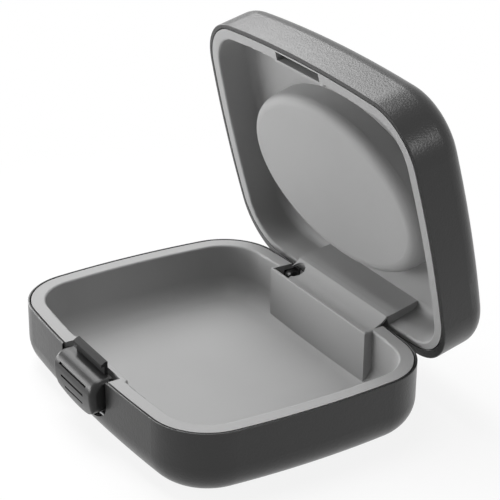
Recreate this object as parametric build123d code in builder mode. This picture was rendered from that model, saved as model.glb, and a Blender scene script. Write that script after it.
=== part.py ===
"""Hinged hard case for a pair of hearing aids, modelled with its lid open against the stop.

Millimetres. X runs along the hinge, +Y points to the hinge side and +Z up. The origin is the
middle of the flat face that the case rests on. The lid and its parts are drawn shut, on top of
the base, and swung open about the hinge pin at the end.
"""

from build123d import *
import os
from math import cos, radians, sin, sqrt

os.makedirs("parts", exist_ok=True)

# Outline of the case, seen from above
case_width = 80.0
case_depth = 63.8
corner_radius = 13.5
side_bow = 2.6

# Moulded walls
shell_wall = 1.6
liner_wall = 1.1
liner_gap = 0.2
flange_thickness = 1.2
seat_clearance = 0.05
liner_rim_radius = 0.45

# Base
tray_depth = 12.5
tray_floor_radius = 4.5
base_belly_radius = 7.3
base_lip = 0.45
base_seam = 0.3
base_flange_width = 3.1
rim_chamfer = 0.12

# Lid
parting_gap = 0.2
lid_cavity_depth = 8.6
lid_floor_radius = 2.0
lid_height = 11.4
lid_shoulder_radius = 4.2
lid_lip = 0.95
lid_hinge_lip = 1.15
lid_seam = 0.2
lid_flange_width = 2.55
open_angle = 76.1

# Oval boss on the lid's floor
boss_length = 61.6
boss_width = 38.8
boss_height = 6.7
boss_draft = 0.4
boss_edge_radius = 2.6
boss_wall = 1.3
boss_offset = 0.3

# Hinge
knuckle_radius = 2.15
hinge_drop = 3.2
hinge_length = 34.8
centre_knuckle = 9.8
narrow_knuckle = 1.8
wide_knuckle = 4.7
spring_space = 5.0
knuckle_gap = 0.2
slot_clearance = 0.25
pin_radius = 1.0
pin_clearance = 0.05
sweep_clearance = 0.1
stop_drop = 1.9
back_lip_lowering = 0.6

# Hinge boxes of the two liners
box_side_gap = 0.5
box_side_wall = 0.7
box_front_wall = 0.5
base_box_reach = 4.36
base_box_lowering = 0.15
lid_box_reach = 4.0
lid_box_width = 34.6
lid_box_draft = 3.0

# Curved hinge cover under the lid's box, as distances from the hinge axis with the lid shut
cover_start_reach = 4.0
cover_bend_reach = 3.2
cover_bend_rise = 1.85
cover_joint_reach = 2.95
cover_joint_rise = 0.6
cover_tip_reach = 2.45
cover_tip_drop = 2.53
cover_thickness = 0.55
cover_left_end = -16.9
cover_right_end = 17.1
cover_notch_x = -14.7
cover_notch_rise = 0.8
cover_notch_radius = 2.15
cover_slot_end = -14.0

# Lid spring, round the hinge pin
coil_pitch = 1.08
lid_spring_wire = 0.6
lid_spring_turns = 5.556
lid_spring_pin_gap = 0.2
lid_spring_start = 270.0
lid_spring_base_leg = 3.0
lid_spring_lid_leg = 1.6
lid_spring_seat_width = 3.0
lid_spring_seat_height = 2.2

# Latch
window_gap = 0.95
pad_width = 17.6
pad_proud = 2.7
pad_top_drop = 0.2
pad_top_radius = 3.2
pad_foot = 5.4
pad_foot_proud = 1.1
pad_foot_bow = 3.2
pad_foot_corner = 2.2
pad_side_radius = 1.3
pad_wall = 1.0
pad_rib = 1.2
pad_clearance = 0.15
groove_count = 3
groove_drop = 1.6
groove_pitch = 2.4
groove_length = 12.0
groove_step = 2.0
groove_width = 0.55
groove_depth = 0.45
lever_front = 1.8
lever_thickness = 0.75
lever_play = 0.05
lever_width = 16.6
lever_foot = 7.9
lever_top_drop = 0.3
hook_width = 12.6
hook_height = 2.6
hook_nose = 0.7
hook_nose_height = 0.5
hook_top_depth = 0.55
hook_throat = 1.55
latch_axis_depth = 1.3
latch_axis_height = 6.6
latch_hub_radius = 1.15
latch_hub_width = 8.0
latch_pin_radius = 0.6
latch_pin_length = 24.6
latch_boss_width = 2.6
latch_boss_radius = 1.3
latch_spring_wire = 0.4
latch_spring_turns = 5.9347
latch_spring_pin_gap = 0.25
latch_spring_start = 14.0
latch_spring_base_leg = 3.1
latch_spring_lever_leg = 3.5
latch_spring_space = 4.4
latch_spring_window = 9.2
pocket_wall = 1.1
pocket_depth = 3.6
pocket_corner = 0.9

# Catch in the lid for the hook
catch_width = 16.0
catch_depth = 3.6
catch_wall = 0.9
catch_lip = 0.45
catch_reach = 3.55

# Sizes that follow
half_width = case_width / 2
half_depth = case_depth / 2
base_height = tray_depth + liner_wall + liner_gap + shell_wall
lid_rim = base_height + parting_gap
lid_floor = lid_rim + lid_cavity_depth
lid_top = lid_rim + lid_height
flange_seat = flange_thickness + seat_clearance
base_flange_inset = base_lip + base_seam
tray_inset = base_flange_inset + base_flange_width
lid_flange_inset = lid_lip + lid_seam
lid_cavity_inset = lid_flange_inset + lid_flange_width

hinge_y = half_depth - knuckle_radius
hinge_z = base_height - hinge_drop
hinge_axis = Axis((0, hinge_y, hinge_z), (1, 0, 0))
lid_plane_height = lid_rim - hinge_z
half_hinge = hinge_length / 2
left_knuckle = (-half_hinge, -half_hinge + narrow_knuckle)
spring_span = (left_knuckle[1] + knuckle_gap, left_knuckle[1] + knuckle_gap + spring_space)
lid_left_knuckle = (spring_span[1] + knuckle_gap, -centre_knuckle / 2 - knuckle_gap)
middle_knuckle = (-centre_knuckle / 2, centre_knuckle / 2)
lid_right_knuckle = (centre_knuckle / 2 + knuckle_gap, half_hinge - wide_knuckle - knuckle_gap)
right_knuckle = (half_hinge - wide_knuckle, half_hinge)
base_knuckles = [left_knuckle, middle_knuckle, right_knuckle]
lid_knuckles = [lid_left_knuckle, lid_right_knuckle]

box_inner_width = hinge_length + 2 * box_side_gap
box_outer_width = box_inner_width + 2 * box_side_wall
box_front = hinge_y - base_box_reach

lid_spring_radius = pin_radius + lid_spring_pin_gap + lid_spring_wire / 2
latch_spring_radius = latch_pin_radius + latch_spring_pin_gap + latch_spring_wire / 2
window_width = pad_width + 2 * window_gap
window_sill = pad_foot - window_gap
lever_y = -half_depth + lever_front
lever_back = lever_y + lever_thickness
latch_y = -half_depth + latch_axis_depth
pocket_y = -half_depth + pocket_depth
hook_top = base_height + hook_height
reach = case_width


def crossing(inset, depth_inset):
    """Corner where a short and a long side of the outline meet, each pulled in by an inset."""
    half_x = half_width - inset
    half_y = half_depth - depth_inset
    long_radius = (half_width**2 + side_bow**2) / (2 * side_bow) - depth_inset
    short_radius = (half_depth**2 + side_bow**2) / (2 * side_bow) - inset
    corner_x = half_x
    corner_y = half_y
    for _ in range(20):
        corner_x = half_x - short_radius + sqrt(short_radius**2 - corner_y**2)
        corner_y = half_y - long_radius + sqrt(long_radius**2 - corner_x**2)
    return corner_x, corner_y


def outline(inset, height, hinge_inset=0):
    """Level face with the case's bowed sides and round corners, pulled in by inset.

    The hinge side is pulled in further by hinge_inset.
    """
    half_x = half_width - inset
    half_y = half_depth - inset
    front_x, front_y = crossing(inset, inset)
    back_x, back_y = crossing(inset, inset + hinge_inset)
    with BuildSketch(Plane.XY.offset(height)) as face:
        with BuildLine():
            ThreePointArc((-back_x, back_y), (0, half_y - hinge_inset), (back_x, back_y))
            ThreePointArc((back_x, back_y), (half_x, 0), (front_x, -front_y))
            ThreePointArc((front_x, -front_y), (0, -half_y), (-front_x, -front_y))
            ThreePointArc((-front_x, -front_y), (-half_x, 0), (-back_x, back_y))
        make_face()
        fillet(face.vertices(), radius=corner_radius - inset)
    return face.sketch


def dish(inset, rim, floor, edge_radius):
    """Solid with the case's outline between two levels, its edge at the floor level rounded."""
    with BuildPart() as block:
        extrude(outline(inset, rim), amount=floor - rim)
        end_face = block.faces().sort_by(Axis.Z)[0 if floor < rim else -1]
        fillet(end_face.edges(), radius=edge_radius)
    return block.part


def band(inset_out, inset_in, low, high):
    """Ring between two copies of the case's outline."""
    with BuildPart() as ring:
        extrude(outline(inset_out, low), amount=high - low)
        extrude(outline(inset_in, low), amount=high - low, mode=Mode.SUBTRACT)
    return ring.part


def slab(x_span, y_span, z_span):
    """Block between three pairs of limits."""
    with BuildPart() as block:
        with Locations((x_span[0], y_span[0], z_span[0])):
            Box(
                x_span[1] - x_span[0],
                y_span[1] - y_span[0],
                z_span[1] - z_span[0],
                align=(Align.MIN, Align.MIN, Align.MIN),
            )
    return block.part


def rod(span, centre_y, centre_z, radius):
    """Round bar along X over a span."""
    with BuildPart() as bar:
        with BuildSketch(Plane.YZ.offset(span[0])):
            with Locations((centre_y, centre_z)):
                Circle(radius)
        extrude(amount=span[1] - span[0])
    return bar.part


def centred(width):
    """Span of a width about the middle of the case."""
    return (-width / 2, width / 2)


def torsion_spring(start, wire, mean_radius, start_angle, turns, first_leg, last_leg):
    """Coil wound along X from a point on its axis, with a straight leg off each end."""
    pitch = coil_pitch * wire
    with BuildPart() as spring:
        with BuildLine():
            winding = Helix(pitch, pitch * turns, mean_radius)
        with BuildSketch(Plane(origin=winding @ 0, z_dir=winding % 0)):
            Circle(wire / 2)
        sweep(is_frenet=True)
        with BuildSketch(Plane(origin=winding @ 0, z_dir=-(winding % 0))):
            Circle(wire / 2)
        extrude(amount=first_leg)
        with BuildSketch(Plane(origin=winding @ 1, z_dir=winding % 1)):
            Circle(wire / 2)
        extrude(amount=last_leg)
    start_direction = (0, cos(radians(start_angle)), sin(radians(start_angle)))
    place = Plane(origin=start, x_dir=start_direction, z_dir=(1, 0, 0))
    return spring.part.moved(place.location)


def thumb_block(inset):
    """Front view of the pad, pulled in by inset: straight sides and a bowed foot.

    A negative inset gives the window round the pad.
    """
    half_length = pad_width / 2 - inset
    foot_radius = ((pad_width / 2) ** 2 + pad_foot_bow**2) / (2 * pad_foot_bow) - inset
    foot_z = pad_foot + inset
    side_z = foot_z + foot_radius - sqrt(foot_radius**2 - half_length**2)
    with BuildPart() as block:
        with BuildSketch(Plane.XZ.offset(half_depth / 2)) as view:
            with BuildLine():
                ThreePointArc((-half_length, side_z), (0, foot_z), (half_length, side_z))
                Polyline(
                    (half_length, side_z),
                    (half_length, 2 * base_height),
                    (-half_length, 2 * base_height),
                    (-half_length, side_z),
                )
            make_face()
            fillet(view.vertices().group_by(Axis.Y)[0], radius=pad_foot_corner - inset)
        extrude(amount=half_depth)
    return block.part


# Cut that rounds the base's back edge, so that the lid's rim clears it while it swings
with BuildPart() as swing_relief:
    add(slab(centred(reach), (hinge_y, reach), (hinge_z, reach)))
    add(
        rod(centred(reach), hinge_y, hinge_z, lid_plane_height - sweep_clearance),
        mode=Mode.SUBTRACT,
    )


# Base shell: outer moulding with the back knuckles, the latch window and the pivot bosses
with BuildPart() as base_shell:
    add(dish(0, base_height, 0, base_belly_radius))
    add(
        dish(shell_wall, base_height, shell_wall, base_belly_radius - shell_wall),
        mode=Mode.SUBTRACT,
    )
    extrude(
        outline(base_lip, base_height - flange_seat), amount=flange_seat, mode=Mode.SUBTRACT
    )
    rim_edges = base_shell.edges().filter_by_position(Axis.Z, base_height, base_height)
    chamfer(rim_edges, length=rim_chamfer)
    add(swing_relief.part, mode=Mode.SUBTRACT)
    add(
        slab(
            centred(box_inner_width),
            (hinge_y, reach),
            (base_height - back_lip_lowering, reach),
        ),
        mode=Mode.SUBTRACT,
    )

    # Knuckles that carry the pin
    for span in base_knuckles:
        add(rod(span, hinge_y, hinge_z, knuckle_radius))
    add(
        rod(centred(hinge_length), hinge_y, hinge_z, pin_radius + pin_clearance),
        mode=Mode.SUBTRACT,
    )

    # Ledge under the left knuckle for the spring's lower leg
    ledge_top = hinge_z - lid_spring_radius - lid_spring_wire / 2 - lever_play
    add(
        slab(
            (left_knuckle[0], left_knuckle[0] + lid_spring_seat_width),
            (hinge_y - lid_spring_base_leg, half_depth - shell_wall),
            (ledge_top - lid_spring_seat_height, ledge_top),
        )
    )

    # Slots in the back wall for the lid's arms and the spring, whose lower edge is the stop
    slots = [(spring_span[0], lid_left_knuckle[1]), lid_right_knuckle]
    for span in slots:
        wide_span = (span[0] - knuckle_gap, span[1] + knuckle_gap)
        add(
            slab(wide_span, (hinge_y, reach), (hinge_z - stop_drop, reach)),
            mode=Mode.SUBTRACT,
        )
        add(
            rod(wide_span, hinge_y, hinge_z, knuckle_radius + slot_clearance),
            mode=Mode.SUBTRACT,
        )

    # Window for the latch button
    add(thumb_block(-window_gap), mode=Mode.SUBTRACT)

    # Bosses beside the window, bored for the latch pin
    for side in (-1, 1):
        boss_span = sorted(
            (side * window_width / 2, side * (window_width / 2 + latch_boss_width))
        )
        boss_y = (-half_depth + shell_wall / 2, latch_y + latch_boss_radius)
        add(
            slab(
                boss_span,
                boss_y,
                (latch_axis_height - latch_boss_radius, latch_axis_height + latch_boss_radius),
            )
        )
    add(
        rod(
            centred(latch_pin_length + 2 * lever_play),
            latch_y,
            latch_axis_height,
            latch_pin_radius + pin_clearance,
        ),
        mode=Mode.SUBTRACT,
    )
base_shell.part.label = "base_shell"


# Base liner: tray with its flange, the hinge box at the back and the latch pocket in front
with BuildPart() as tray_hollow:
    add(
        dish(
            tray_inset,
            base_height + parting_gap,
            base_height - tray_depth,
            tray_floor_radius,
        )
    )
    add(
        slab(centred(box_outer_width), (box_front, reach), (0, reach)),
        mode=Mode.SUBTRACT,
    )
    pocket_width = window_width + 2 * pocket_wall
    with BuildSketch(Plane.XY) as pocket:
        with BuildLine():
            Polyline(
                (-pocket_width / 2 - pocket_corner, -half_depth),
                (-pocket_width / 2 - pocket_corner, pocket_y),
                (-pocket_width / 2, pocket_y + pocket_wall),
                (pocket_width / 2, pocket_y + pocket_wall),
                (pocket_width / 2 + pocket_corner, pocket_y),
                (pocket_width / 2 + pocket_corner, -half_depth),
                close=True,
            )
        make_face()
    extrude(amount=2 * base_height, mode=Mode.SUBTRACT)

with BuildPart() as base_liner:
    add(
        dish(
            tray_inset - liner_wall,
            base_height,
            base_height - tray_depth - liner_wall,
            tray_floor_radius + liner_wall,
        )
    )
    extrude(
        outline(base_flange_inset, base_height - flange_thickness), amount=flange_thickness
    )
    add(tray_hollow.part, mode=Mode.SUBTRACT)
    base_rim = base_liner.faces().filter_by(Axis.Z).sort_by(Axis.Z)[-1]
    fillet(base_rim.inner_wires()[0].edges(), radius=liner_rim_radius)
    add(swing_relief.part, mode=Mode.SUBTRACT)
    add(
        slab(centred(box_inner_width), (box_front + box_front_wall, reach), (0, reach)),
        mode=Mode.SUBTRACT,
    )
    add(
        slab(
            centred(box_inner_width),
            (box_front, reach),
            (base_height - base_box_lowering, reach),
        ),
        mode=Mode.SUBTRACT,
    )
    add(
        slab(centred(window_width), (-reach, pocket_y), (window_sill, reach)),
        mode=Mode.SUBTRACT,
    )
base_liner.part.label = "base_liner"


# Hinge pin, held in the base's knuckles
with BuildPart() as hinge_pin:
    add(rod(centred(hinge_length - knuckle_gap), hinge_y, hinge_z, pin_radius))
    pin_ends = hinge_pin.edges().filter_by(GeomType.CIRCLE)
    chamfer(pin_ends, length=pin_radius / 5)
hinge_pin.part.label = "hinge_pin"


# Lid shell: outer moulding with two arms that end in knuckles
with BuildPart() as lid_shell:
    add(dish(0, lid_rim, lid_top, lid_shoulder_radius))
    add(
        dish(
            shell_wall,
            lid_rim + flange_seat,
            lid_top - shell_wall,
            lid_shoulder_radius - shell_wall,
        ),
        mode=Mode.SUBTRACT,
    )
    extrude(
        outline(lid_lip, lid_rim, lid_hinge_lip), amount=flange_seat, mode=Mode.SUBTRACT
    )
    lid_rim_edges = lid_shell.edges().filter_by_position(Axis.Z, lid_rim, lid_rim)
    chamfer(lid_rim_edges, length=rim_chamfer)

    # Arms down to the knuckles, cut from the same wall
    with BuildPart(mode=Mode.PRIVATE) as arms:
        add(band(0, shell_wall, hinge_z, lid_rim))
        with Locations((0, half_depth, lid_rim)):
            Box(hinge_length, 2 * shell_wall, 2 * base_height, mode=Mode.INTERSECT)
    for span in lid_knuckles:
        with BuildPart(mode=Mode.PRIVATE) as arm:
            add(arms.part)
            add(slab(span, (0, reach), (0, reach)), mode=Mode.INTERSECT)
            add(rod(span, hinge_y, hinge_z, knuckle_radius))
        add(arm.part)
    add(
        rod(centred(hinge_length), hinge_y, hinge_z, pin_radius + pin_clearance),
        mode=Mode.SUBTRACT,
    )

    # Relief behind the lip for the hook's nose
    add(
        slab(
            centred(catch_width + 2 * catch_wall),
            (-half_depth + lid_lip, -half_depth + lid_lip + shell_wall),
            (lid_rim, lid_rim + catch_depth + catch_wall),
        ),
        mode=Mode.SUBTRACT,
    )
lid_shell.part.label = "lid_shell"


# Lid liner: flange, shallow dish with the oval boss, hinge box, hinge cover and catch
def oval_block(inset, top):
    """Oval standing down from the lid's floor to a level, its sides drawn in a little."""
    with BuildPart() as block:
        with BuildSketch(Plane.XY.offset(lid_floor + liner_wall)):
            with Locations((0, boss_offset)):
                Ellipse(boss_length / 2 - inset, boss_width / 2 - inset)
        with BuildSketch(Plane.XY.offset(top)):
            with Locations((0, boss_offset)):
                Ellipse(
                    boss_length / 2 - inset - boss_draft, boss_width / 2 - inset - boss_draft
                )
        loft()
    return block.part


boss_top = lid_floor - boss_height
with BuildPart() as boss:
    add(oval_block(0, boss_top))
    boss_face = boss.faces().sort_by(Axis.Z)[0]
    fillet(boss_face.edges(), radius=boss_edge_radius)

with BuildPart() as lid_hollow:
    add(dish(lid_cavity_inset, lid_rim - parting_gap, lid_floor, lid_floor_radius))
    with BuildSketch(Plane.XY.offset(lid_rim - parting_gap)):
        with Locations((0, hinge_y - lid_box_reach)):
            Rectangle(lid_box_width, half_depth, align=(Align.CENTER, Align.MIN))
    extrude(amount=base_height, taper=lid_box_draft, mode=Mode.SUBTRACT)
    add(boss.part, mode=Mode.SUBTRACT)
    catch_block = catch_width + 2 * catch_wall
    catch_y = -half_depth + catch_reach
    with BuildSketch(Plane.XY.offset(lid_rim - parting_gap)) as catch_plan:
        with BuildLine():
            Polyline(
                (-catch_block / 2 - pocket_corner, -half_depth),
                (-catch_block / 2 - pocket_corner, catch_y),
                (-catch_block / 2, catch_y + catch_wall),
                (catch_block / 2, catch_y + catch_wall),
                (catch_block / 2 + pocket_corner, catch_y),
                (catch_block / 2 + pocket_corner, -half_depth),
                close=True,
            )
        make_face()
    extrude(amount=parting_gap + catch_depth + catch_wall, mode=Mode.SUBTRACT)

with BuildPart() as lid_liner:
    add(
        dish(
            lid_cavity_inset - liner_wall,
            lid_rim,
            lid_floor + liner_wall,
            lid_floor_radius + liner_wall,
        )
    )
    extrude(outline(lid_flange_inset, lid_rim, lid_hinge_lip), amount=flange_thickness)
    add(lid_hollow.part, mode=Mode.SUBTRACT)
    lid_rim_face = lid_liner.faces().filter_by(Axis.Z).sort_by(Axis.Z)[0]
    lid_box_edge = lid_rim_face.edges().filter_by_position(
        Axis.Y, hinge_y - lid_box_reach, hinge_y - lid_box_reach
    )
    lid_inner_edges = lid_rim_face.inner_wires()[0].edges() - lid_box_edge
    fillet(lid_inner_edges, radius=liner_rim_radius)
    add(oval_block(boss_wall, boss_top + boss_wall), mode=Mode.SUBTRACT)
    add(
        slab(
            centred(lid_box_width - 2 * liner_wall),
            (hinge_y - lid_box_reach + liner_wall, reach),
            (lid_rim + flange_thickness, reach),
        ),
        mode=Mode.SUBTRACT,
    )

    # Hinge cover, a curved tongue from the lower edge of the hinge box
    with BuildSketch(Plane.YZ.offset(cover_left_end)):
        with BuildLine():
            start_y = hinge_y - cover_start_reach
            bend_y = hinge_y - cover_bend_reach
            bend_z = hinge_z + cover_bend_rise
            joint_y = hinge_y - cover_joint_reach
            joint_z = hinge_z + cover_joint_rise
            tip_y = hinge_y - cover_tip_reach
            tip_z = hinge_z - cover_tip_drop
            ThreePointArc((start_y, lid_rim), (bend_y, bend_z), (joint_y, joint_z))
            Polyline(
                (joint_y, joint_z),
                (tip_y, tip_z),
                (tip_y + cover_thickness, tip_z),
                (joint_y + cover_thickness, joint_z),
            )
            back_arc = ThreePointArc(
                (joint_y + cover_thickness, joint_z),
                (bend_y + cover_thickness, bend_z),
                (start_y + cover_thickness, lid_rim),
            )
            Line(back_arc @ 1, (start_y + cover_thickness, lid_rim + flange_thickness))
            Line(
                (start_y + cover_thickness, lid_rim + flange_thickness),
                (start_y, lid_rim + flange_thickness),
            )
            Line((start_y, lid_rim + flange_thickness), (start_y, lid_rim))
        make_face()
    extrude(amount=cover_right_end - cover_left_end)
    with BuildSketch(Plane.XZ.offset(-start_y)):
        notch_z = hinge_z + cover_notch_rise
        with Locations((cover_notch_x, notch_z)):
            Circle(cover_notch_radius)
        with Locations((cover_slot_end, notch_z)):
            Rectangle(cover_notch_radius * 2, base_height, align=(Align.MAX, Align.MAX))
    extrude(amount=-cover_start_reach, mode=Mode.SUBTRACT)

    # Recess that the hook enters, with a lip in front that it holds
    add(
        slab(
            centred(catch_width),
            (-half_depth + lid_flange_inset + catch_lip, catch_y),
            (lid_rim - parting_gap, lid_rim + catch_depth),
        ),
        mode=Mode.SUBTRACT,
    )
    add(
        slab(
            centred(catch_width),
            (-half_depth, catch_y),
            (lid_rim + flange_thickness, lid_rim + catch_depth),
        ),
        mode=Mode.SUBTRACT,
    )
lid_liner.part.label = "lid_liner"


# Lid spring: a coil round the pin, one leg on the base's ledge and one under the hinge cover
lid_coil_length = coil_pitch * lid_spring_wire * lid_spring_turns
lid_coil_start = (spring_span[0] + spring_span[1] - lid_coil_length) / 2
with BuildPart() as lid_spring:
    add(
        torsion_spring(
            (lid_coil_start, hinge_y, hinge_z),
            lid_spring_wire,
            lid_spring_radius,
            lid_spring_start,
            lid_spring_turns,
            lid_spring_base_leg,
            lid_spring_lid_leg,
        )
    )
lid_spring.part.label = "lid_spring"


# Latch pin, held in the bosses beside the window
with BuildPart() as latch_pin:
    add(rod(centred(latch_pin_length), latch_y, latch_axis_height, latch_pin_radius))
    latch_pin_ends = latch_pin.edges().filter_by(GeomType.CIRCLE)
    chamfer(latch_pin_ends, length=latch_pin_radius / 5)
latch_pin.part.label = "latch_pin"


# Latch lever: hub, plate and the hook that holds the lid's lip
with BuildPart() as latch_lever:
    add(
        slab(
            centred(lever_width),
            (lever_y, lever_back),
            (lever_foot, base_height - lever_top_drop),
        )
    )
    add(
        slab(
            centred(latch_hub_width),
            (lever_y, lever_back),
            (latch_axis_height, lever_foot),
        )
    )
    add(rod(centred(latch_hub_width), latch_y, latch_axis_height, latch_hub_radius))
    with BuildSketch(Plane.YZ) as hook_side:
        with BuildLine():
            throat_z = base_height + hook_throat
            Polyline(
                (lever_back, lever_foot),
                (lever_back, hook_top),
                (lever_back - hook_top_depth, hook_top),
                (lever_y - hook_nose, throat_z + hook_nose_height),
                (lever_y - hook_nose, throat_z),
                (lever_y, throat_z),
                (lever_y, lever_foot),
                close=True,
            )
        make_face()
    extrude(amount=hook_width / 2, both=True)
    add(
        slab(centred(latch_spring_space), (-reach, 0), (0, latch_spring_window)),
        mode=Mode.SUBTRACT,
    )
    add(
        rod(
            centred(latch_hub_width),
            latch_y,
            latch_axis_height,
            latch_pin_radius + pin_clearance,
        ),
        mode=Mode.SUBTRACT,
    )
latch_lever.part.label = "latch_lever"


# Latch button: the ribbed thumb pad, moulded hollow, that covers the lever
def pad_block(inset, half_length):
    """Pad's side view, pulled in by inset from its outside, stretched along the hinge."""
    top_z = base_height - pad_top_drop - inset
    foot_z = pad_foot + inset
    front_y = -half_depth - pad_proud + inset
    brow_radius = pad_top_radius - inset
    with BuildPart() as block:
        with BuildSketch(Plane.YZ):
            with BuildLine():
                top = Line((lever_y, top_z), (front_y + brow_radius, top_z))
                brow = TangentArc(
                    top @ 1, (front_y, top_z - brow_radius), tangent=(-1, 0)
                )
                front = TangentArc(
                    brow @ 1,
                    (-half_depth - pad_foot_proud + inset, foot_z),
                    tangent=(0, -1),
                )
                Line(front @ 1, (lever_y, foot_z))
                Line((lever_y, foot_z), top @ 0)
            make_face()
        extrude(amount=half_length, both=True)
    return block.part


with BuildPart() as grooves:
    for number in range(groove_count):
        groove_z = base_height - pad_top_drop - groove_drop - number * groove_pitch
        add(
            slab(
                centred(groove_length - number * groove_step),
                (-reach, lever_y),
                (groove_z - groove_width, groove_z),
            )
        )
    add(pad_block(groove_depth, reach), mode=Mode.SUBTRACT)

with BuildPart() as pad_hollow:
    add(pad_block(pad_wall, pad_width / 2 - pad_wall))
    add(thumb_block(pad_wall), mode=Mode.INTERSECT)
    add(slab(centred(pad_rib), (-reach, reach), (0, reach)), mode=Mode.SUBTRACT)
    add(
        rod(
            centred(latch_hub_width + 2 * pad_clearance),
            latch_y,
            latch_axis_height,
            latch_hub_radius + pad_clearance,
        )
    )
    add(
        rod(
            centred(pad_width + pad_wall),
            latch_y,
            latch_axis_height,
            latch_pin_radius + pad_clearance,
        )
    )

with BuildPart() as latch_button:
    add(pad_block(0, pad_width / 2))
    pad_sides = latch_button.faces().filter_by(Axis.X).edges()
    pad_tops = pad_sides.filter_by(Axis.Y).group_by(Axis.Z)[-1]
    fillet(pad_sides.filter_by(GeomType.CIRCLE) + pad_tops, radius=pad_side_radius)
    add(thumb_block(0), mode=Mode.INTERSECT)
    add(grooves.part, mode=Mode.SUBTRACT)
    add(pad_hollow.part, mode=Mode.SUBTRACT)
latch_button.part.label = "latch_button"


# Latch spring: a coil round the latch pin, one leg behind the sill and one behind the plate
latch_coil_length = coil_pitch * latch_spring_wire * latch_spring_turns
with BuildPart() as latch_spring:
    add(
        torsion_spring(
            (-latch_coil_length / 2, latch_y, latch_axis_height),
            latch_spring_wire,
            latch_spring_radius,
            latch_spring_start,
            latch_spring_turns,
            latch_spring_base_leg,
            latch_spring_lever_leg,
        )
    )
latch_spring.part.label = "latch_spring"


# The lid stands open
for lid_piece in (lid_shell, lid_liner):
    label = lid_piece.part.label
    lid_piece.part = lid_piece.part.rotate(hinge_axis, -open_angle)
    lid_piece.part.label = label

pieces = [
    base_shell,
    base_liner,
    hinge_pin,
    lid_spring,
    lid_shell,
    lid_liner,
    latch_pin,
    latch_lever,
    latch_button,
    latch_spring,
]
for piece in pieces:
    export_step(piece.part, f"parts/{piece.part.label}.step")
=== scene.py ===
"""Hearing aid case standing open: surfaces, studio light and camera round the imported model."""

from math import cos, radians, sin

import bpy
from mathutils import Matrix, Vector

MM = 0.001
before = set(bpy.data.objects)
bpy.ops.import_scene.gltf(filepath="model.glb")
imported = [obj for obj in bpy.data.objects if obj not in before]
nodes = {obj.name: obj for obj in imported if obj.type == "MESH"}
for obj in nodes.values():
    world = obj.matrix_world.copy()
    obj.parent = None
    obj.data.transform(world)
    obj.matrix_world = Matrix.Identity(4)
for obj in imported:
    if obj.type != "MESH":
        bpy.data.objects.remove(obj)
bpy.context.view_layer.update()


# Camera, solved from the outlines of the base and the lid; lengths in millimetres
CAMERA_AZIMUTH = radians(58.09)
CAMERA_ELEVATION = radians(25.21)
CAMERA_ROLL = radians(0.73)
CAMERA_RIGHT = 7.08
CAMERA_UP = 16.23
CAMERA_DISTANCE = 371.28
RIM_HEIGHT = 15.4
FOCAL_PIXELS = 1741.3
FRAME_PIXELS = 500
SENSOR_WIDTH = 36.0
CLIP_START = 10

# Floor: half its side and, from the case outwards, where plain white takes over its shadow
FLOOR_REACH = 1500
SHADOW_NEAR = 45
SHADOW_END = 140
WHITE_BY_CASE = 0.87

# Surround: what it adds to the light, and the strength that is white to the eye
SURROUND_LIGHT = 0.04
SURROUND_SEEN = 1.0

# Soft boxes: name, place, aim and size in millimetres, power in watts
LAMPS = [
    ("left_box", (-290, 20, 330), (0, 10, 20), (290, 290), 1.4),
    ("top_box", (-80, -30, 440), (0, 0, 0), (200, 200), 1.0),
    ("front_box", (-330, -300, 80), (0, 10, 20), (700, 140), 2.35),
    ("corner_lamp", (450, 130, 290), (35, 35, 68), (110, 110), 0.34),
]

# Most of a noise texture lies between these values
NOISE_SPREAD = {"From_Min": 0.3, "From_Max": 0.7}


def place_camera():
    """Camera at the photograph's angle, placed from the middle of the base's rim."""
    back = Vector(
        (
            sin(CAMERA_AZIMUTH) * cos(CAMERA_ELEVATION),
            -cos(CAMERA_AZIMUTH) * cos(CAMERA_ELEVATION),
            sin(CAMERA_ELEVATION),
        )
    )
    level = Vector((cos(CAMERA_AZIMUTH), sin(CAMERA_AZIMUTH), 0))
    upright = back.cross(level)
    right = level * cos(CAMERA_ROLL) + upright * sin(CAMERA_ROLL)
    up = upright * cos(CAMERA_ROLL) - level * sin(CAMERA_ROLL)
    place = right * CAMERA_RIGHT + up * CAMERA_UP + back * CAMERA_DISTANCE
    place.z += RIM_HEIGHT
    lens = bpy.data.cameras.new("camera")
    lens.sensor_width = SENSOR_WIDTH
    lens.lens = FOCAL_PIXELS / FRAME_PIXELS * SENSOR_WIDTH
    lens.clip_start = CLIP_START * MM
    camera = bpy.data.objects.new("camera", lens)
    turn = Matrix((right, up, back)).transposed().to_4x4()
    camera.matrix_world = Matrix.Translation(place * MM) @ turn
    bpy.context.scene.collection.objects.link(camera)
    bpy.context.scene.camera = camera


def linear(hex_colour):
    """sRGB hex colour as linear RGBA."""
    channels = [int(hex_colour[i : i + 2], 16) / 255 for i in (1, 3, 5)]
    return [c / 12.92 if c <= 0.04045 else ((c + 0.055) / 1.055) ** 2.4 for c in channels] + [1]


def add_node(tree, kind, links=None, **settings):
    """Adds a node: settings are its properties or inputs, links says what feeds an input."""
    node = tree.nodes.new(kind)
    for name, value in settings.items():
        if hasattr(node, name):
            setattr(node, name, value)
        else:
            node.inputs[name.replace("_", " ")].default_value = value
    for name, source in (links or {}).items():
        tree.links.new(source, node.inputs[name])
    return node


def start_material(name):
    """Material with a Principled shader at its output, and the object's own coordinates."""
    material = bpy.data.materials.new(name)
    material.use_nodes = True
    tree = material.node_tree
    tree.nodes.clear()
    shader = add_node(tree, "ShaderNodeBsdfPrincipled")
    add_node(tree, "ShaderNodeOutputMaterial", {"Surface": shader.outputs[0]})
    where = add_node(tree, "ShaderNodeTexCoord").outputs["Object"]
    return material, tree, shader, where


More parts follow.
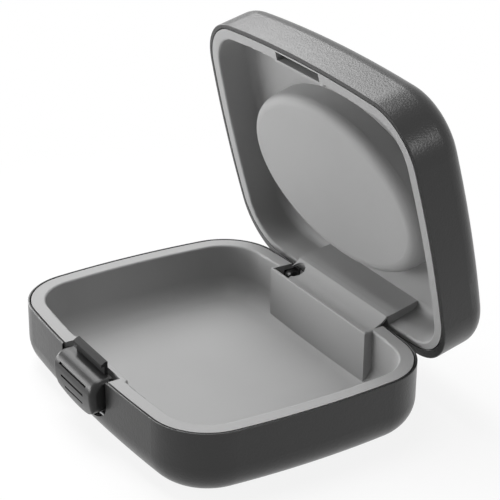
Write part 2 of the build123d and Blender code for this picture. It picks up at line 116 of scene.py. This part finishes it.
def black_abs_spark_eroded():
    """Black ABS from a spark-eroded mould: a fine pebble grain that breaks up the highlights."""
    material, tree, shader, where = start_material("black_abs_spark_eroded")
    pebble_size = 0.38 * MM
    drift_size = 1.4 * MM
    grain_depth = 0.05 * MM
    pebbles = add_node(
        tree,
        "ShaderNodeTexVoronoi",
        {"Vector": where},
        feature="SMOOTH_F1",
        Scale=1 / pebble_size,
        Smoothness=0.6,
    )
    drift = add_node(
        tree, "ShaderNodeTexNoise", {"Vector": where}, Scale=1 / drift_size, Detail=3.0
    )
    height = add_node(
        tree,
        "ShaderNodeMath",
        {0: pebbles.outputs["Distance"], 1: drift.outputs["Fac"]},
        operation="ADD",
    )
    relief = add_node(
        tree, "ShaderNodeBump", {"Height": height.outputs[0]}, Strength=0.5, Distance=grain_depth
    )
    gloss = add_node(
        tree,
        "ShaderNodeMapRange",
        {"Value": drift.outputs["Fac"]},
        To_Min=0.28,
        To_Max=0.32,
        **NOISE_SPREAD,
    )
    tree.links.new(relief.outputs[0], shader.inputs["Normal"])
    tree.links.new(gloss.outputs[0], shader.inputs["Roughness"])
    shader.inputs["Base Color"].default_value = linear("#1e1e1e")
    shader.inputs["IOR"].default_value = 1.48
    return material


def black_abs_polished():
    """Black ABS from a polished mould: smooth, with soft clean highlights along the curves."""
    material, tree, shader, where = start_material("black_abs_polished")
    haze_size = 2 * MM
    haze = add_node(tree, "ShaderNodeTexNoise", {"Vector": where}, Scale=1 / haze_size, Detail=4.0)
    gloss = add_node(
        tree,
        "ShaderNodeMapRange",
        {"Value": haze.outputs["Fac"]},
        To_Min=0.28,
        To_Max=0.34,
        **NOISE_SPREAD,
    )
    tree.links.new(gloss.outputs[0], shader.inputs["Roughness"])
    shader.inputs["Base Color"].default_value = linear("#262626")
    shader.inputs["IOR"].default_value = 1.53
    shader.inputs["Specular IOR Level"].default_value = 0.24
    return material


def dark_nylon_moulded():
    """Dark nylon from a plain mould: matte, darker to the eye than the glossy ABS beside it."""
    material, tree, shader, where = start_material("dark_nylon_moulded")
    speck_size = 0.3 * MM
    speck_depth = 0.02 * MM
    speck = add_node(
        tree, "ShaderNodeTexNoise", {"Vector": where}, Scale=1 / speck_size, Detail=2.0
    )
    relief = add_node(
        tree, "ShaderNodeBump", {"Height": speck.outputs["Fac"]}, Strength=0.2, Distance=speck_depth
    )
    tree.links.new(relief.outputs[0], shader.inputs["Normal"])
    shader.inputs["Base Color"].default_value = linear("#121212")
    shader.inputs["Roughness"].default_value = 0.6
    shader.inputs["IOR"].default_value = 1.53
    shader.inputs["Specular IOR Level"].default_value = 0.2
    return material


def grey_abs_matte():
    """Grey ABS from a lightly blasted mould: soft, even and almost without highlights."""
    material, tree, shader, where = start_material("grey_abs_matte")
    grit_size = 0.25 * MM
    grit_depth = 0.015 * MM
    cloud_size = 22 * MM
    grit = add_node(tree, "ShaderNodeTexNoise", {"Vector": where}, Scale=1 / grit_size, Detail=2.0)
    relief = add_node(
        tree, "ShaderNodeBump", {"Height": grit.outputs["Fac"]}, Strength=0.15, Distance=grit_depth
    )
    cloud = add_node(tree, "ShaderNodeTexNoise", {"Vector": where}, Scale=1 / cloud_size)
    tint = add_node(tree, "ShaderNodeValToRGB", {"Fac": cloud.outputs["Fac"]})
    tint.color_ramp.elements[0].color = linear("#9d9d9d")
    tint.color_ramp.elements[1].color = linear("#a3a3a3")
    tree.links.new(tint.outputs[0], shader.inputs["Base Color"])
    tree.links.new(relief.outputs[0], shader.inputs["Normal"])
    shader.inputs["Roughness"].default_value = 0.6
    shader.inputs["IOR"].default_value = 1.53
    shader.inputs["Specular IOR Level"].default_value = 0.2
    return material


def steel(name, colour, smoothest, roughest, mark_size):
    """Steel rod or wire: a dull shine, with fine marks drawn out along the pins."""
    material, tree, shader, where = start_material(name)
    drawn_out = (0.1, 1, 1)
    along = add_node(tree, "ShaderNodeMapping", {"Vector": where}, Scale=drawn_out)
    marks = add_node(tree, "ShaderNodeTexNoise", {"Vector": along.outputs[0]}, Scale=1 / mark_size)
    gloss = add_node(
        tree,
        "ShaderNodeMapRange",
        {"Value": marks.outputs["Fac"]},
        To_Min=smoothest,
        To_Max=roughest,
        **NOISE_SPREAD,
    )
    tree.links.new(gloss.outputs[0], shader.inputs["Roughness"])
    shader.inputs["Base Color"].default_value = linear(colour)
    shader.inputs["Metallic"].default_value = 1.0
    return material


def seen_directly(tree):
    """1 where the camera, a reflection or a view through glass meets a surface, else 0."""
    path = add_node(tree, "ShaderNodeLightPath")
    mirrored = add_node(
        tree,
        "ShaderNodeMath",
        {0: path.outputs["Is Camera Ray"], 1: path.outputs["Is Glossy Ray"]},
        operation="MAXIMUM",
    )
    through = add_node(
        tree,
        "ShaderNodeMath",
        {0: mirrored.outputs[0], 1: path.outputs["Is Transmission Ray"]},
        operation="MAXIMUM",
    )
    return through.outputs[0]


def white_paper():
    """White paper, matte: it looks white to the eye and keeps a pale shadow round the case."""
    material, tree, shader, where = start_material("white_paper")
    shader.inputs["Base Color"].default_value = linear("#f4f4f4")
    shader.inputs["Roughness"].default_value = 0.9
    glow = add_node(tree, "ShaderNodeEmission", Color=linear("#ffffff"), Strength=1.0)
    distance = add_node(tree, "ShaderNodeVectorMath", {0: where}, operation="LENGTH")
    whiteness = add_node(
        tree,
        "ShaderNodeMapRange",
        {"Value": distance.outputs["Value"]},
        From_Min=SHADOW_NEAR * MM,
        From_Max=SHADOW_END * MM,
        To_Min=WHITE_BY_CASE,
        To_Max=1.0,
    )
    share = add_node(
        tree,
        "ShaderNodeMath",
        {0: seen_directly(tree), 1: whiteness.outputs["Result"]},
        operation="MULTIPLY",
    )
    mix = add_node(
        tree,
        "ShaderNodeMixShader",
        {0: share.outputs[0], 1: shader.outputs[0], 2: glow.outputs[0]},
    )
    tree.links.new(mix.outputs[0], tree.nodes["Material Output"].inputs["Surface"])
    return material


def dress_nodes():
    """Gives every solid its finish; mouldings and steel parts of one kind share theirs."""
    shell = black_abs_spark_eroded()
    pad = black_abs_polished()
    lever = dark_nylon_moulded()
    liner = grey_abs_matte()
    pin = steel("ground_steel_rod", "#b9babb", 0.3, 0.42, 0.1 * MM)
    spring = steel("drawn_spring_steel", "#8d8e90", 0.35, 0.47, 0.06 * MM)
    finishes = {
        "base_shell": shell,
        "lid_shell": shell,
        "latch_button": pad,
        "latch_lever": lever,
        "base_liner": liner,
        "lid_liner": liner,
        "hinge_pin": pin,
        "latch_pin": pin,
        "lid_spring": spring,
        "latch_spring": spring,
    }
    for name, node in nodes.items():
        node.data.materials.clear()
        node.data.materials.append(finishes[name])


def lay_floor():
    """Pale floor far wider than the case."""
    reach = FLOOR_REACH * MM
    mesh = bpy.data.meshes.new("floor")
    corners = [(-reach, -reach, 0), (reach, -reach, 0), (reach, reach, 0), (-reach, reach, 0)]
    mesh.from_pydata(corners, [], [(0, 1, 2, 3)])
    floor = bpy.data.objects.new("floor", mesh)
    floor.data.materials.append(white_paper())
    bpy.context.scene.collection.objects.link(floor)


def hang_surround():
    """Surround that looks white but adds only a little light."""
    world = bpy.data.worlds.new("surround")
    bpy.context.scene.world = world
    world.use_nodes = True
    tree = world.node_tree
    tree.nodes.clear()
    white = linear("#ffffff")
    soft = add_node(tree, "ShaderNodeBackground", Color=white, Strength=SURROUND_LIGHT)
    bright = add_node(tree, "ShaderNodeBackground", Color=white, Strength=SURROUND_SEEN)
    mix = add_node(
        tree,
        "ShaderNodeMixShader",
        {0: seen_directly(tree), 1: soft.outputs[0], 2: bright.outputs[0]},
    )
    add_node(tree, "ShaderNodeOutputWorld", {"Surface": mix.outputs[0]})


def area_light(name, place, aim, size, power):
    """Soft box at a place in millimetres, turned to a point and hidden from the camera."""
    lamp = bpy.data.lights.new(name, "AREA")
    lamp.shape = "RECTANGLE"
    lamp.size = size[0] * MM
    lamp.size_y = size[1] * MM
    lamp.energy = power
    box = bpy.data.objects.new(name, lamp)
    box.visible_camera = False
    box.location = Vector(place) * MM
    box.rotation_euler = (Vector(aim) - Vector(place)).to_track_quat("-Z", "Y").to_euler()
    bpy.context.scene.collection.objects.link(box)


place_camera()
dress_nodes()
lay_floor()
hang_surround()
for settings in LAMPS:
    area_light(*settings)
bpy.context.scene.view_settings.view_transform = "Standard"
